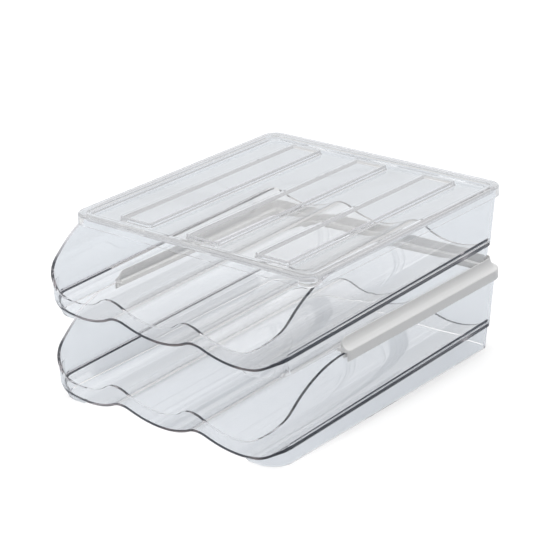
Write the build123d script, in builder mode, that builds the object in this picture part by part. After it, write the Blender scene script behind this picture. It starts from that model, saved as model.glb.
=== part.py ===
from build123d import *
from math import asin, cos, pi, radians, sin, sqrt, tan
import os

# Two-tier egg box: two equal clear bins, a stacking frame between them and a lid on top
# Millimetres, +X to the right, +Y to the back, +Z up
# The origin is on the table, in the middle of the width

# Egg lanes: gutters side by side that fall to the front, so that the eggs roll forward
lane_count = 3
lane_pitch = 64.2
gutter_radius = 53.0
ridge_radius = 16.2
floor_slope = 1.5
valley_height = 4.6

# Bin moulding
wall = 2.0
rim_width = 196.2
rim_height = 56.7
rim_back = 121.1
wall_draft = 3.76
back_corner_radius = 9.0
side_cove = 2.5
skirt_inset = 1.1
skirt_end_slope = 6.0

# Front corners: their radius grows from the floor's level up to the lip's
foot_corner_radius = 16.0
foot_corner_height = 11.0
lip_corner_radius = 23.8
lip_corner_height = 23.0

# Front lip: it leans forward, and its top edge waves with the lanes
lip_foot = -116.1
lip_lean = 19.5
lip_height = 11.0
lip_valley_radius = 38.5
lip_ridge_radius = 14.6

# Swept side walls: an arc from the rim down to the front corner, where a ramp joins it to the lip
sweep_start = -50.7
sweep_radius = 75.9
ramp_steps = 6

# Lid and frame share one outline, a little outside the bin's rim
cover_overhang = 1.9
cover_skin = 1.4
seat_gap = 0.6

# Lid
lid_front = -84.8
lid_web = 2.0
lid_skirt = 5.1
lid_border = 7.2
lid_edge_round = 1.8
pan_depth = 3.2
pan_skin = 1.8
pan_corner_radius = 5.0
pan_chamfer = 0.7
panel_width = 27.1
panel_pitch = 56.7
panel_margin = 7.0
panel_corner_radius = 3.0
panel_drop = 0.2
panel_chamfer = 0.7

# Stacking frame: a U that caps the lower rim and holds the upper bin's skirt
frame_front = -50.5
frame_web = 2.3
frame_ledge = 9.6
frame_skirt = 5.6
frame_ridge = 1.6
curb_height = 6.6
curb_foot = 5.9
curb_tip = 5.3
cove_radius = 6.8
rib_drop = 3.4
arm_chamfer = 0.4
nose_radius = 3.0
curb_nose_radius = 5.0

# Worked out from the sizes above
tier_pitch = rim_height + frame_web
rim_half = rim_width / 2
cover_half = rim_half + cover_overhang
cover_back = rim_back + cover_overhang
cover_corner_radius = back_corner_radius + cover_overhang
draft = tan(radians(wall_draft))
lean = tan(radians(lip_lean))
fall = tan(radians(floor_slope))
lane_angle = asin(lane_pitch / 2 / (gutter_radius + ridge_radius))
lip_angle = asin(lane_pitch / 2 / (lip_valley_radius + lip_ridge_radius))
lip_valley = valley_height + lip_height
lane_centres = [(i - (lane_count - 1) / 2) * lane_pitch for i in range(lane_count)]

# Reach of cutting blocks, well beyond the box
far = 400.0


def wall_limits(height, inset, front_inset):
    """Half width, back and front of the wall faces at one height, moved in by the insets."""
    step = draft * (rim_height - height) + inset
    front = lip_foot - lean * (height - valley_height) + front_inset
    return rim_half - step, rim_back - step, front


def walls_block(low, high, inset, front_inset):
    """A solid inside the wall faces, moved in by the insets, with its four upright edges round."""
    levels = (
        (low, foot_corner_radius),
        (foot_corner_height, foot_corner_radius),
        (lip_corner_height, lip_corner_radius),
        (high, lip_corner_radius),
    )
    with BuildPart() as block:
        for height, front_radius in levels:
            half, back, front = wall_limits(height, inset, front_inset)
            with BuildSketch(Plane.XY.offset(height)) as outline:
                Polygon((-half, front), (half, front), (half, back), (-half, back), align=None)
                fillet(outline.vertices().group_by(Axis.Y)[-1], back_corner_radius - inset)
                fillet(outline.vertices().group_by(Axis.Y)[0], front_radius - inset)
        loft(ruled=True)
    return block.part


def arc_points(centre, height, radius, angle):
    """Ends and middle of an arc that turns by the angle to both sides of its lowest or highest point."""
    reach = abs(radius) * sin(angle)
    end = height + radius * (1 - cos(angle))
    return (centre - reach, end), (centre, height), (centre + reach, end)


def lane_wave(valley_radius, crest_radius, angle, valley):
    """Valley arcs joined by ridge arcs across all lanes. Gives the two open ends."""
    crest = valley + (valley_radius + crest_radius) * (1 - cos(angle))
    for centre in lane_centres:
        ThreePointArc(*arc_points(centre, valley, valley_radius, angle))
    for centre in lane_centres[:-1]:
        ThreePointArc(*arc_points(centre + lane_pitch / 2, crest, -crest_radius, angle))
    left = arc_points(lane_centres[0], valley, valley_radius, angle)[0]
    right = arc_points(lane_centres[-1], valley, valley_radius, angle)[2]
    return left, right


# Across the gutters behind the box, looking to the front and down their slope
gutter_start = Plane(
    origin=(0, far / 2, valley_height + fall * (far / 2 - lip_foot)),
    x_dir=(1, 0, 0),
    z_dir=(0, -cos(radians(floor_slope)), -sin(radians(floor_slope))),
)


def gutter_space(offset, top, bottom):
    """The space above or below the gutters, as long as the bin and falling to the front."""
    valley_radius = gutter_radius + offset
    crest_radius = ridge_radius - offset
    crest = -offset + (valley_radius + crest_radius) * (1 - cos(lane_angle))
    side = lane_count * lane_pitch / 2
    half = lane_angle / 2
    bend = crest_radius * sin(half)
    sink = crest_radius * (1 - cos(half))
    limit = top - bottom
    with BuildPart() as space:
        with BuildSketch(gutter_start):
            with BuildLine():
                left, right = lane_wave(valley_radius, crest_radius, lane_angle, -offset)
                ThreePointArc(right, (side - bend, crest - sink), (side, crest))
                ThreePointArc(left, (bend - side, crest - sink), (-side, crest))
                Polyline((side, crest), (far / 2, crest), (far / 2, limit))
                Polyline((far / 2, limit), (-far / 2, limit), (-far / 2, crest), (-side, crest))
            make_face()
        extrude(amount=far)
    return space.part


def skirt_step():
    """What the skirt is set in by: the outer skin of the walls below the floor's edge."""
    with BuildPart() as step:
        add(gutter_space(wall, 0, far / 4))
        add(walls_block(-far / 2, rim_height, skirt_inset, skirt_inset), mode=Mode.SUBTRACT)
    return step.part


def side_coves():
    """Rounding between the outer gutters and the side walls, as long as the bin."""
    ridge = lane_count * lane_pitch / 2
    crest = (gutter_radius + ridge_radius) * (1 - cos(lane_angle))
    wall_face = wall_limits(crest + valley_height, wall, 0)[0]
    # The cove's axis is its own radius away from the wall and from the arc of the outer ridge
    reach = ridge_radius + side_cove
    aside = ridge - wall_face + side_cove
    rise = sqrt(reach**2 - aside**2)
    share = ridge_radius / reach
    foot = (ridge - aside * share, crest - ridge_radius + rise * share)
    head = (wall_face, crest - ridge_radius + rise)
    beyond = wall_face + 2 * wall
    low = foot[1] - wall
    with BuildPart() as coves:
        with BuildSketch(gutter_start):
            with BuildLine():
                RadiusArc(foot, head, -side_cove)
                Polyline(head, (beyond, crest + ridge_radius), (beyond, low), (foot[0], low), foot)
            make_face()
            mirror(about=Plane.YZ)
        extrude(amount=far)
    return coves.part


def inside_space():
    """The inside of the bin down to the gutters, rounded up to its side walls."""
    with BuildPart() as space:
        add(walls_block(-wall, rim_height + wall, wall, wall / cos(radians(lip_lean))))
        add(gutter_space(0, far / 2, 0), mode=Mode.INTERSECT)
        add(side_coves(), mode=Mode.SUBTRACT)
    return space.part


def underside_space():
    """The hollow under the gutters, inside the skirt, open to the front between the outer lanes."""
    inset = skirt_inset + wall
    edge = lane_centres[-1]
    foot = edge + skirt_end_slope
    with BuildPart() as space:
        add(walls_block(-wall, rim_height, inset, inset))
        with BuildSketch(Plane.XZ):
            Polygon((-foot, 0), (foot, 0), (edge, valley_height), (-edge, valley_height), align=None)
            with Locations((0, valley_height + rim_height / 2)):
                Rectangle(2 * edge, rim_height)
        extrude(amount=far / 2)
        add(gutter_space(wall, 0, far / 4), mode=Mode.INTERSECT)
    return space.part


# Upright axis of the right front corner at the lip's level, and where the ramp round it starts and ends
corner_half, _, corner_front = wall_limits(lip_corner_height, 0, 0)
ramp_x = corner_half - lip_corner_radius
ramp_y = corner_front + lip_corner_radius
wave_reach = ramp_x - lane_centres[-1]
wave_depth = sqrt(lip_valley_radius**2 - wave_reach**2)
sweep_reach = sweep_start - ramp_y
sweep_depth = sqrt(sweep_radius**2 - sweep_reach**2)


def lip_wave():
    """What is taken off the front lip above its wave."""
    with BuildPart() as wave_cut:
        with BuildSketch(Plane.XZ.offset(-ramp_y)):
            with BuildLine():
                left, right = lane_wave(lip_valley_radius, lip_ridge_radius, lip_angle, lip_valley)
                Polyline(right, (right[0], far), (left[0], far), left)
            make_face()
            Rectangle(2 * ramp_x, 2 * far, mode=Mode.INTERSECT)
        extrude(amount=far)
    return wave_cut.part


def ramp_height(turn):
    """Height of the edge round the corner, from the lip at 0 to the side wall at 1."""
    length = lip_corner_radius * pi / 2
    low = lip_valley + lip_valley_radius - wave_depth
    high = rim_height - sweep_radius + sweep_depth
    low_slope = length * wave_reach / wave_depth
    high_slope = length * sweep_reach / sweep_depth
    blend = turn * turn * (3 - 2 * turn)
    start_push = turn * (1 - turn) ** 2 * low_slope
    end_push = turn * turn * (turn - 1) * high_slope
    return low + (high - low) * blend + start_push + end_push


def corner_ramps():
    """What is taken off both front corners above the edge that climbs round them."""
    inner = lip_corner_radius / 2
    outer = lip_corner_radius + rim_height
    with BuildPart() as ramps:
        for i in range(ramp_steps + 1):
            turn = i / ramp_steps
            angle = turn * pi / 2
            radial = Plane(
                origin=(ramp_x, ramp_y, 0),
                x_dir=(sin(angle), -cos(angle), 0),
                z_dir=(-cos(angle), -sin(angle), 0),
            )
            low = ramp_height(turn)
            with BuildSketch(radial):
                Polygon((inner, low), (outer, low), (outer, far / 2), (inner, far / 2), align=None)
        loft()
        mirror(about=Plane.YZ)
    return ramps.part


def side_sweep():
    """What is taken off the side walls above their arc."""
    turn = asin(sweep_reach / sweep_radius)
    with BuildPart() as sweep_cut:
        with BuildSketch(Plane.YZ.offset(-far / 2)):
            with BuildLine():
                edge = JernArc((sweep_start, rim_height), (-1, 0), sweep_radius, turn * 180 / pi)
                Polyline(edge @ 1, (ramp_y, far), (sweep_start, far), (sweep_start, rim_height))
            make_face()
        extrude(amount=far)
    return sweep_cut.part


with BuildPart() as bin_moulding:
    add(walls_block(0, rim_height, 0, 0))
    add(skirt_step(), mode=Mode.SUBTRACT)
    add(inside_space(), mode=Mode.SUBTRACT)
    add(underside_space(), mode=Mode.SUBTRACT)
    add(side_sweep(), mode=Mode.SUBTRACT)
    add(lip_wave(), mode=Mode.SUBTRACT)
    add(corner_ramps(), mode=Mode.SUBTRACT)


def cover_outline(inset, front, radius=None):
    """The outline that the lid and the frame share, moved in by the inset."""
    half = cover_half - inset
    back = cover_back - inset
    with Locations((0, (front + back) / 2)):
        RectangleRounded(2 * half, back - front, radius or cover_corner_radius - inset)


with BuildPart() as lid:
    seat = tier_pitch + rim_height
    top = seat + lid_web
    with BuildSketch(Plane.XY.offset(seat - lid_skirt)):
        cover_outline(0, lid_front)
    extrude(amount=lid_skirt + lid_web)
    fillet(lid.faces().sort_by(Axis.Z)[-1].edges(), lid_edge_round)
    # Inside of the skirt, which drops over the bin's rim
    with BuildSketch(Plane.XY.offset(seat - lid_skirt)):
        cover_outline(cover_skin, lid_front + cover_skin)
    extrude(amount=lid_skirt, mode=Mode.SUBTRACT)
    # Pan that drops inside the rim and keeps the lid in place
    pan_floor = top - pan_depth
    pan_under = pan_floor - pan_skin
    pan_outside = lid_border - pan_skin
    with BuildSketch(Plane.XY.offset(pan_under)):
        cover_outline(pan_outside, lid_front + pan_outside, pan_corner_radius + pan_skin)
    extrude(amount=pan_depth + pan_skin - lid_web)
    with BuildSketch(Plane.XY.offset(pan_floor)):
        cover_outline(lid_border, lid_front + lid_border, pan_corner_radius)
    extrude(amount=pan_depth, mode=Mode.SUBTRACT)
    pan_edges = lid.edges(Select.LAST).group_by(Axis.Z)
    chamfer(pan_edges[0] + pan_edges[-1], pan_chamfer)
    # Long raised panels, hollow below, one over each lane
    panel_front = lid_front + lid_border + panel_margin
    panel_length = cover_back - lid_border - panel_margin - panel_front
    panel_middle = panel_front + panel_length / 2
    panel_spots = [((i - (lane_count - 1) / 2) * panel_pitch, panel_middle) for i in range(lane_count)]
    panel_height = pan_depth - panel_drop
    with BuildSketch(Plane.XY.offset(pan_floor)):
        with Locations(*panel_spots):
            RectangleRounded(panel_width, panel_length, panel_corner_radius)
    extrude(amount=panel_height)
    panel_edges = lid.edges(Select.LAST).group_by(Axis.Z)
    chamfer(panel_edges[0] + panel_edges[-1], panel_chamfer)
    hollow_width = panel_width - 2 * pan_skin
    hollow_length = panel_length - 2 * pan_skin
    with BuildSketch(Plane.XY.offset(pan_under)):
        with Locations(*panel_spots):
            RectangleRounded(hollow_width, hollow_length, panel_corner_radius - pan_skin)
    extrude(amount=panel_height, mode=Mode.SUBTRACT)

with BuildPart() as stacking_frame:
    # Section across one arm: distance in from the outer face, and height above the lower rim
    with BuildLine() as outer_edge:
        corners = [(side * cover_half, end) for side, end in ((1, frame_front), (1, cover_back))]
        corners += [(-x, y) for x, y in reversed(corners)]
        FilletPolyline(*corners, radius=cover_corner_radius)
    curb_top = frame_web + curb_height
    rib_face = cover_overhang + wall + seat_gap
    arm_end = Plane(origin=(cover_half, frame_front, rim_height), x_dir=(-1, 0, 0), z_dir=(0, 1, 0))
    with BuildSketch(arm_end) as section:
        with BuildLine():
            Line((0, -frame_skirt), (0, frame_ridge))
            RadiusArc((0, frame_ridge), (curb_tip, curb_top), -cove_radius)
            Polyline(
                (curb_tip, curb_top),
                (curb_foot, curb_top),
                (curb_foot, frame_web),
                (frame_ledge, frame_web),
                (frame_ledge, 0),
                (rib_face + cover_skin, 0),
                (rib_face + cover_skin, -rib_drop),
                (rib_face, -rib_drop),
                (rib_face, 0),
                (cover_skin, 0),
                (cover_skin, -frame_skirt),
                (0, -frame_skirt),
            )
        make_face()
        chamfer(section.vertices().sort_by(Axis.X)[:2], arm_chamfer)
    sweep(path=outer_edge.wires()[0], transition=Transition.RIGHT)
    # Round noses at the front ends of the arms, seen from above and from the side
    with BuildSketch(Plane.XY):
        cover_outline(0, frame_front, nose_radius)
    extrude(amount=far, mode=Mode.INTERSECT)
    with BuildSketch(Plane.YZ.offset(-far / 2)) as side_view:
        with Locations((frame_front, rim_height + curb_top)):
            Rectangle(far, far, align=(Align.MIN, Align.MAX))
        fillet(side_view.vertices().sort_by(Axis.X)[:2].sort_by(Axis.Y)[-1], curb_nose_radius)
    extrude(amount=far, mode=Mode.INTERSECT)

with BuildPart() as lower_bin:
    add(bin_moulding.part)

with BuildPart() as upper_bin:
    with Locations((0, 0, tier_pitch)):
        add(bin_moulding.part)

os.makedirs("parts", exist_ok=True)
pieces = {"lower_bin": lower_bin, "stacking_frame": stacking_frame, "upper_bin": upper_bin, "lid": lid}
for name, piece in pieces.items():
    piece.part.label = name
    export_step(piece.part, f"parts/{name}.step")
    print(name, round(piece.part.volume), "mm3 in", len(piece.part.solids()), "solid")
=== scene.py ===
import math

import bpy
from mathutils import Matrix, Vector

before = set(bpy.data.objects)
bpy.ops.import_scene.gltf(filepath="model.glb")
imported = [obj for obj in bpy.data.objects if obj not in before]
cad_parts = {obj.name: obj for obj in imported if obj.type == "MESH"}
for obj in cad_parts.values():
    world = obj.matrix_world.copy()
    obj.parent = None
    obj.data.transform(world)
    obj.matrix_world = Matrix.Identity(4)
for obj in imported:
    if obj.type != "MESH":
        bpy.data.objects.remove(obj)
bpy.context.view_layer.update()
scene = bpy.context.scene
print("frame loaded:", ", ".join(sorted(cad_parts)))


# Node helpers: every material below is built with these

def addNode(tree, kind, **settings):
    node = tree.nodes.new(kind)
    for name, value in settings.items():
        setattr(node, name, value)
    return node


def join(tree, source, target):
    tree.links.new(source, target)


def feed(tree, value, socket):
    if isinstance(value, (int, float)):
        socket.default_value = value
    elif isinstance(value, tuple):
        socket.default_value = (*value, 1.0)     # a colour, opaque
    else:
        join(tree, value, socket)


def mathNode(tree, operation, *values):
    node = addNode(tree, "ShaderNodeMath", operation=operation)
    for socket, value in zip(node.inputs, values):
        feed(tree, value, socket)
    return node.outputs[0]


def rangeNode(tree, value, fromLow, fromHigh, toLow=0.0, toHigh=1.0):
    node = addNode(tree, "ShaderNodeMapRange")
    join(tree, value, node.inputs["Value"])
    ends = {"From Min": fromLow, "From Max": fromHigh, "To Min": toLow, "To Max": toHigh}
    for name, number in ends.items():
        node.inputs[name].default_value = number
    return node.outputs["Result"]


def noiseNode(tree, place, scale, detail, roughness):
    node = addNode(tree, "ShaderNodeTexNoise")
    for name, value in (("Vector", place), ("Scale", scale), ("Detail", detail), ("Roughness", roughness)):
        feed(tree, value, node.inputs[name])
    return node.outputs["Fac"]


def axisNode(tree, vector):
    split = addNode(tree, "ShaderNodeSeparateXYZ")
    join(tree, vector, split.inputs[0])
    return split.outputs


def colourMix(tree, factor, first, second):
    node = addNode(tree, "ShaderNodeMix", data_type="RGBA")
    for name, value in (("Factor", factor), ("A", first), ("B", second)):
        feed(tree, value, node.inputs[name])
    return node.outputs["Result"]


def shaderMix(tree, factor, first, second):
    node = addNode(tree, "ShaderNodeMixShader")
    for socket, source in zip(node.inputs, (factor, first.outputs[0], second.outputs[0])):
        join(tree, source, socket)
    return node


# Moulded skin: the slow waviness of plastic that shrinks in its mould, and a fine unevenness of polish
skinLook = {
    # what the group starts with, each material sets its own
    "inputs": (("Wave Size", 30.0), ("Wave Height", 0.5), ("Polish", 0.03), ("Polish Spread", 0.02)),
    "flow": (1.0, 0.12, 1.0),            # waves drawn out along Y, as the plastic flowed along the lanes
    "slow": {"detail": 2.0, "roughness": 0.45},
    "fine": {"scale": 220.0, "detail": 3.0, "roughness": 0.6},
    "fineMiddle": 0.5,     # the noise's mean, so that the polish goes up and down from its own value
}


def makeMouldedSkin():
    group = bpy.data.node_groups.new("mouldedSkin", "ShaderNodeTree")
    sockets = group.interface
    for name, start in skinLook["inputs"]:
        sockets.new_socket(name=name, in_out="INPUT", socket_type="NodeSocketFloat").default_value = start
    sockets.new_socket(name="Height", in_out="OUTPUT", socket_type="NodeSocketFloat")
    sockets.new_socket(name="Roughness", in_out="OUTPUT", socket_type="NodeSocketFloat")
    enter = addNode(group, "NodeGroupInput")
    leave = addNode(group, "NodeGroupOutput")
    place = addNode(group, "ShaderNodeTexCoord").outputs["Object"]
    flow = addNode(group, "ShaderNodeMapping")
    join(group, place, flow.inputs["Vector"])
    flow.inputs["Scale"].default_value = skinLook["flow"]
    slow = noiseNode(group, flow.outputs["Vector"], enter.outputs["Wave Size"], **skinLook["slow"])
    fine = noiseNode(group, place, **skinLook["fine"])
    height = mathNode(group, "MULTIPLY", slow, enter.outputs["Wave Height"])
    uneven = mathNode(group, "SUBTRACT", fine, skinLook["fineMiddle"])
    spread = mathNode(group, "MULTIPLY", uneven, enter.outputs["Polish Spread"])
    polish = mathNode(group, "ADD", enter.outputs["Polish"], spread)
    join(group, height, leave.inputs["Height"])
    join(group, mathNode(group, "MAXIMUM", polish, 0.0), leave.inputs["Roughness"])
    return group


# Hairline scuffs from handling: long thin scratches in three directions, faint and broken up by patches
hairLook = {
    "amount": 0.5,         # what the group starts with
    "strokes": ((0.35, 18.0), (1.25, 24.0), (2.4, 30.0)),      # turn in radians, scale along the scratch
    "across": 900.0,       # scale across it
    "tilt": (0.4, 0.3),    # shares of the turn that go round X and Y as well
    "line": {"scale": 1.0, "detail": 0.0, "roughness": 0.5},
    "lineBand": (0.74, 0.78),            # only the noise's peaks show, which keeps the lines thin
    "patch": {"scale": 14.0, "detail": 2.0, "roughness": 0.5},
    "patchBand": (0.5, 0.62),
}


def makeHairlines():
    group = bpy.data.node_groups.new("hairlines", "ShaderNodeTree")
    sockets = group.interface
    amount = sockets.new_socket(name="Amount", in_out="INPUT", socket_type="NodeSocketFloat")
    amount.default_value = hairLook["amount"]
    sockets.new_socket(name="Mask", in_out="OUTPUT", socket_type="NodeSocketFloat")
    enter = addNode(group, "NodeGroupInput")
    leave = addNode(group, "NodeGroupOutput")
    place = addNode(group, "ShaderNodeTexCoord").outputs["Object"]
    tiltX, tiltY = hairLook["tilt"]
    scratches = []
    for turn, along in hairLook["strokes"]:
        mapping = addNode(group, "ShaderNodeMapping")
        join(group, place, mapping.inputs["Vector"])
        mapping.inputs["Rotation"].default_value = (tiltX * turn, tiltY * turn, turn)
        mapping.inputs["Scale"].default_value = (along, hairLook["across"], hairLook["across"])
        line = noiseNode(group, mapping.outputs["Vector"], **hairLook["line"])
        scratches.append(rangeNode(group, line, *hairLook["lineBand"]))
    total = scratches[0]
    for thin in scratches[1:]:
        total = mathNode(group, "MAXIMUM", total, thin)
    patch = rangeNode(group, noiseNode(group, place, **hairLook["patch"]), *hairLook["patchBand"])
    broken = mathNode(group, "MULTIPLY", total, patch)
    join(group, mathNode(group, "MULTIPLY", broken, enter.outputs["Amount"]), leave.inputs["Mask"])
    return group


mouldedSkin = makeMouldedSkin()
hairlines = makeHairlines()


def emptyMaterial(name):
    material = bpy.data.materials.new(name)
    material.use_nodes = True
    material.node_tree.nodes.clear()
    return material


def placeSkin(tree, shader, look):
    skin = addNode(tree, "ShaderNodeGroup", node_tree=mouldedSkin)
    skin.inputs["Wave Size"].default_value = look["waveSize"]
    skin.inputs["Wave Height"].default_value = look["waveHeight"]
    skin.inputs["Polish"].default_value = look["polish"]
    skin.inputs["Polish Spread"].default_value = look["polishSpread"]
    scuffs = addNode(tree, "ShaderNodeGroup", node_tree=hairlines)
    scuffs.inputs["Amount"].default_value = look["scuffs"]
    rough = mathNode(tree, "ADD", skin.outputs["Roughness"], scuffs.outputs["Mask"])
    join(tree, rough, shader.inputs["Roughness"])
    bump = addNode(tree, "ShaderNodeBump")
    bump.inputs["Strength"].default_value = look["bump"]
    bump.inputs["Distance"].default_value = look["bumpDepth"]
    join(tree, skin.outputs["Height"], bump.inputs["Height"])
    join(tree, bump.outputs["Normal"], shader.inputs["Normal"])


strayDepth = 15.5          # walls met before any ray counts as stray


# Rays for lamps and soft light pass straight through the plastic with a tint, and light what is behind it
# A ray mirrored on and on inside a wall ends in a painted glow in place of the light trapped there, painted
# shade low on the piece and lighter painted light higher up, by its height
# A ray that strays on between the walls ends in a painted grey in place of the room's light
def finishSurface(tree, shader, look, volume=None):
    path = addNode(tree, "ShaderNodeLightPath").outputs
    passing = addNode(tree, "ShaderNodeBsdfTransparent")
    feed(tree, look["tint"], passing.inputs["Color"])
    lamps = mathNode(tree, "MAXIMUM", path["Is Shadow Ray"], path["Is Diffuse Ray"])
    seen = shaderMix(tree, lamps, shader, passing)

    # Painted shade and light: the glow goes from a dark tone low on the piece to a light one higher up
    paintedTrappedTones = look["paintedTrappedTones"]
    height = axisNode(tree, addNode(tree, "ShaderNodeTexCoord").outputs["Generated"])["Z"]
    paintedInnerTone = colourMix(tree, rangeNode(tree, height, *paintedTrappedTones["band"]), paintedTrappedTones["low"], paintedTrappedTones["high"])
    paintedGlow = addNode(tree, "ShaderNodeEmission")
    join(tree, colourMix(tree, path["Is Reflection Ray"], look["paintedRoomGrey"], paintedInnerTone), paintedGlow.inputs["Color"])

    deep = mathNode(tree, "GREATER_THAN", path["Ray Depth"], look["caught"])
    mirrored = mathNode(tree, "MULTIPLY", deep, path["Is Reflection Ray"])
    inside = addNode(tree, "ShaderNodeNewGeometry").outputs["Backfacing"]
    caught = mathNode(tree, "MULTIPLY", mirrored, inside)
    lost = mathNode(tree, "GREATER_THAN", path["Ray Depth"], strayDepth)
    ending = shaderMix(tree, mathNode(tree, "MAXIMUM", caught, lost), seen, paintedGlow)

    output = addNode(tree, "ShaderNodeOutputMaterial")
    join(tree, ending.outputs[0], output.inputs["Surface"])
    if volume:
        join(tree, volume.outputs[0], output.inputs["Volume"])


# Clear plastic of the two bins and the lid
clearLook = {
    "colour": (1.0, 1.0, 1.0),
    "see": 1.0,            # share of the light that goes through
    "ior": 1.57,
    "waveSize": 34.0,
    "waveHeight": 1.0,
    "bump": 0.35,
    "bumpDepth": 0.0004,   # metres
    "polish": 0.0,         # roughness, 0 for a mirror
    "polishSpread": 0.01,
    "scuffs": 0.05,
    "tint": (0.982, 0.984, 0.986),       # lamp light that one face lets through
    "absorb": (0.67, 0.60, 0.605),       # colour that light takes on along its way inside
    # painted grey in place of the room's light, for rays that stray between the walls
    "paintedRoomGrey": (0.80, 0.82, 0.84),
}
binLook = {
    "density": 13.0,       # absorption per metre
    "caught": 8.5,         # walls met before a mirrored ray counts as caught
    # painted tones in place of the trapped light, dark painted shade low down and lighter higher up, and
    # the shares of the piece's height between which low turns to high
    "paintedTrappedTones": {"low": (0.022, 0.03, 0.048), "high": (0.72, 0.74, 0.78), "band": (0.25, 0.43)},
}
lidLook = {
    "density": 3.0,
    "caught": 5.5,
    # painted tones in place of the light trapped in the lid's walls
    "paintedTrappedTones": {"low": (0.50, 0.51, 0.53), "high": (0.56, 0.57, 0.59), "band": (0.2, 0.8)},
}


def makeClear(name, pieceLook):
    look = {**clearLook, **pieceLook}
    material = emptyMaterial(name)
    tree = material.node_tree
    shader = addNode(tree, "ShaderNodeBsdfPrincipled")
    feed(tree, look["colour"], shader.inputs["Base Color"])
    shader.inputs["Transmission Weight"].default_value = look["see"]
    shader.inputs["IOR"].default_value = look["ior"]
    placeSkin(tree, shader, look)
    volume = addNode(tree, "ShaderNodeVolumeAbsorption")
    feed(tree, look["absorb"], volume.inputs["Color"])
    volume.inputs["Density"].default_value = look["density"]
    finishSurface(tree, shader, look, volume)
    return material


# Milky plastic of the stacking frame
frameLook = {
    # painted shade: upright faces are painted darker than the faces that look up
    "sides": (0.67, 0.66, 0.65),
    "paintedLightTops": (0.82, 0.82, 0.815),         # painted light: faces that look up are painted lighter, in place of the light that falls on them from above
    "paintedLightBand": (0.1, 0.9),                # how far up a face looks, 0 for upright and 1 for level, between which painted shade turns to painted light
    "see": 0.35,           # share of the light that goes through
    "ior": 1.49,
    "waveSize": 40.0,
    "waveHeight": 1.0,
    "bump": 0.25,
    "bumpDepth": 0.0003,   # metres
    "polish": 0.34,
    "polishSpread": 0.12,
    "scuffs": 0.12,
    "tint": (0.72, 0.72, 0.72),
    "caught": 10.5,
    # painted tones in place of the light trapped in the frame's walls
    "paintedTrappedTones": {"low": (0.54, 0.53, 0.525), "high": (0.60, 0.59, 0.585), "band": (0.2, 0.8)},
    # painted grey in place of the room's light, for rays that stray between the walls
    "paintedRoomGrey": (0.58, 0.57, 0.565),
}


def makeMilky(name, look):
    material = emptyMaterial(name)
    tree = material.node_tree
    shader = addNode(tree, "ShaderNodeBsdfPrincipled")
    up = axisNode(tree, addNode(tree, "ShaderNodeNewGeometry").outputs["Normal"])["Z"]
    # Painted light and shade: the base colour goes from the painted shade of upright faces to the painted
    # light of faces that look up
    paintedTopLight = colourMix(tree, rangeNode(tree, up, *look["paintedLightBand"]), look["sides"], look["paintedLightTops"])
    join(tree, paintedTopLight, shader.inputs["Base Color"])
    shader.inputs["Transmission Weight"].default_value = look["see"]
    shader.inputs["IOR"].default_value = look["ior"]
    placeSkin(tree, shader, look)
    finishSurface(tree, shader, look)
    return material


def dress(nodes, material):
    for node in nodes:
        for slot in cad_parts[node].material_slots:
            slot.material = material


dress(("lower_bin", "upper_bin"), makeClear("clearBinPlastic", binLook))
dress(("lid",), makeClear("clearLidPlastic", lidLook))
dress(("stacking_frame",), makeMilky("milkyFramePlastic", frameLook))
print("materials placed")


# The mould leaves the edges of the lid and the frame a little rounded
# The bins go without it, because it spoils the smooth shading of their gutters
edgeLook = {
    "nodes": ("lid", "stacking_frame"),
    "join": 0.00001,       # metres, the loaded faces are joined along their edges first
    "width": 0.0004,       # metres
    "segments": 2,
    "angle": 40.0,         # degrees, softer bends stay as they are
}


def softenEdges():
    for node in edgeLook["nodes"]:
        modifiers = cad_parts[node].modifiers
        weld = modifiers.new("joinFaces", "WELD")
        weld.merge_threshold = edgeLook["join"]
        bevel = modifiers.new("softEdges", "BEVEL")
        bevel.width = edgeLook["width"]
        bevel.segments = edgeLook["segments"]
        bevel.limit_method = "ANGLE"
        bevel.angle_limit = math.radians(edgeLook["angle"])


softenEdges()
print("edges softened")


# Plain pale floor
floorLook = {
    "size": 12.0,          # metres
    "drop": 0.0002,        # metres below the box, so that the two never share a face
    "open": (0.95, 0.95, 0.95),          # where nothing is in front of it
    "behind": (0.61, 0.64, 0.675),       # as it shows through plastic and in reflections
    "roughness": 0.9,
    "shine": 0.0,
}


def makeFloor():
    half = floorLook["size"] / 2
    low = -floorLook["drop"]
    mesh = bpy.data.meshes.new("floor")
    corners = [(-half, -half, low), (half, -half, low), (half, half, low), (-half, half, low)]
    mesh.from_pydata(corners, [], [(0, 1, 2, 3)])
    floor = bpy.data.objects.new("floor", mesh)
    scene.collection.objects.link(floor)
    material = bpy.data.materials.new("paleFloor")
    material.use_nodes = True
    tree = material.node_tree
    shader = tree.nodes["Principled BSDF"]
    direct = addNode(tree, "ShaderNodeLightPath").outputs["Is Camera Ray"]
    join(tree, colourMix(tree, direct, floorLook["behind"], floorLook["open"]), shader.inputs["Base Color"])
    shader.inputs["Roughness"].default_value = floorLook["roughness"]
    shader.inputs["Specular IOR Level"].default_value = floorLook["shine"]
    mesh.materials.append(material)


# Soft studio light: a bright room, a little dimmer half-way up and brightest overhead
# Two faint strips of light in the room make the streaks along the lanes
# One large soft box hangs above and a weak one at the left
roomLook = {
    # sine of the height above the floor, brightness there
    "bands": ((0.0, 0.85), (0.3, 0.8), (0.55, 0.7), (0.8, 1.3), (1.0, 1.5)),
    # degrees round Y from overhead, half width in degrees, added light
    "strips": ((-45.0, 3.0, 0.9), (-34.0, 3.0, 0.6)),
    "seen": (0.9, 0.9, 0.9),             # where the camera sees the room itself
    "strength": 0.9,
}
softBoxes = [              # metres, watts
    {"name": "overhead", "place": (0.1, 0.35, 1.5), "size": (3.2, 2.6), "power": 12.0},
    {"name": "leftWindow", "place": (-1.5, -0.5, 1.0), "size": (0.9, 1.3), "power": 2.0},
]
boxAim = (0.0, 0.0, 0.05)
bounceLimits = {"all": 24, "through": 24, "mirrored": 16}      # high, because clear walls stand many deep


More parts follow.
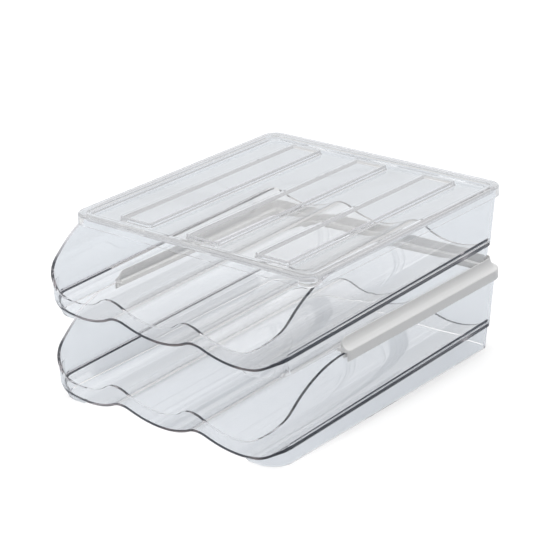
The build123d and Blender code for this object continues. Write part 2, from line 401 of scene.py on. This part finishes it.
def makeRoom():
    world = bpy.data.worlds.new("brightRoom")
    scene.world = world
    world.use_nodes = True
    tree = world.node_tree
    background = tree.nodes["Background"]
    axes = axisNode(tree, addNode(tree, "ShaderNodeTexCoord").outputs["Generated"])
    ramp = addNode(tree, "ShaderNodeValToRGB")
    join(tree, axes["Z"], ramp.inputs["Fac"])
    stops = ramp.color_ramp.elements
    bands = roomLook["bands"]
    while len(stops) < len(bands):
        stops.new(0.5)     # a start, the loop below puts each stop in its place
    for stop, (height, bright) in zip(stops, bands):
        stop.position = height
        stop.color = (bright, bright, bright, 1.0)
    lean = mathNode(tree, "DEGREES", mathNode(tree, "ARCTAN2", axes["X"], axes["Z"]))
    total = ramp.outputs["Color"]
    for angle, half, bright in roomLook["strips"]:
        off = mathNode(tree, "ABSOLUTE", mathNode(tree, "SUBTRACT", lean, angle))
        total = mathNode(tree, "ADD", total, rangeNode(tree, off, half, 0.0, 0.0, bright))
    direct = addNode(tree, "ShaderNodeLightPath").outputs["Is Camera Ray"]
    join(tree, colourMix(tree, direct, total, roomLook["seen"]), background.inputs["Color"])
    background.inputs["Strength"].default_value = roomLook["strength"]


def makeSoftBoxes():
    for box in softBoxes:
        light = bpy.data.lights.new(box["name"], "AREA")
        light.shape = "RECTANGLE"
        light.size, light.size_y = box["size"]
        light.energy = box["power"]
        lamp = bpy.data.objects.new(box["name"], light)
        scene.collection.objects.link(lamp)
        lamp.location = box["place"]
        toward = Vector(boxAim) - Vector(box["place"])
        lamp.rotation_euler = toward.to_track_quat("-Z", "Y").to_euler()


makeFloor()
makeRoom()
makeSoftBoxes()
scene.view_settings.view_transform = "Standard"
scene.cycles.max_bounces = bounceLimits["all"]
scene.cycles.transmission_bounces = bounceLimits["through"]
scene.cycles.glossy_bounces = bounceLimits["mirrored"]
print("floor and lights placed")


# Camera at the photograph's angle
cameraLook = {
    "aim": (0.0745, -0.0877, 0.1154),    # metres
    "distance": 1.2405,    # metres
    "azimuth": 39.9,       # degrees round the object from its front
    "elevation": 22.11,
    "roll": -1.83,
    "lens": 135.15,        # millimetres
    "sensor": 36.0,        # millimetres
    "clip": (0.05, 50.0),  # metres
}


def makeCamera():
    camera = bpy.data.cameras.new("camera")
    camera.lens = cameraLook["lens"]
    camera.sensor_width = cameraLook["sensor"]
    camera.clip_start, camera.clip_end = cameraLook["clip"]
    holder = bpy.data.objects.new("camera", camera)
    scene.collection.objects.link(holder)
    around = math.radians(cameraLook["azimuth"])
    above = math.radians(cameraLook["elevation"])
    level = math.cos(above)
    back = Vector((math.sin(around) * level, -math.cos(around) * level, math.sin(above)))
    right = Vector((math.cos(around), math.sin(around), 0.0))
    up = back.cross(right)
    axes = Matrix((right, up, back)).transposed().to_4x4()
    roll = Matrix.Rotation(math.radians(cameraLook["roll"]), 4, "Z")
    spot = Vector(cameraLook["aim"]) + back * cameraLook["distance"]
    holder.matrix_world = Matrix.Translation(spot) @ axes @ roll
    scene.camera = holder


makeCamera()
print("camera placed")
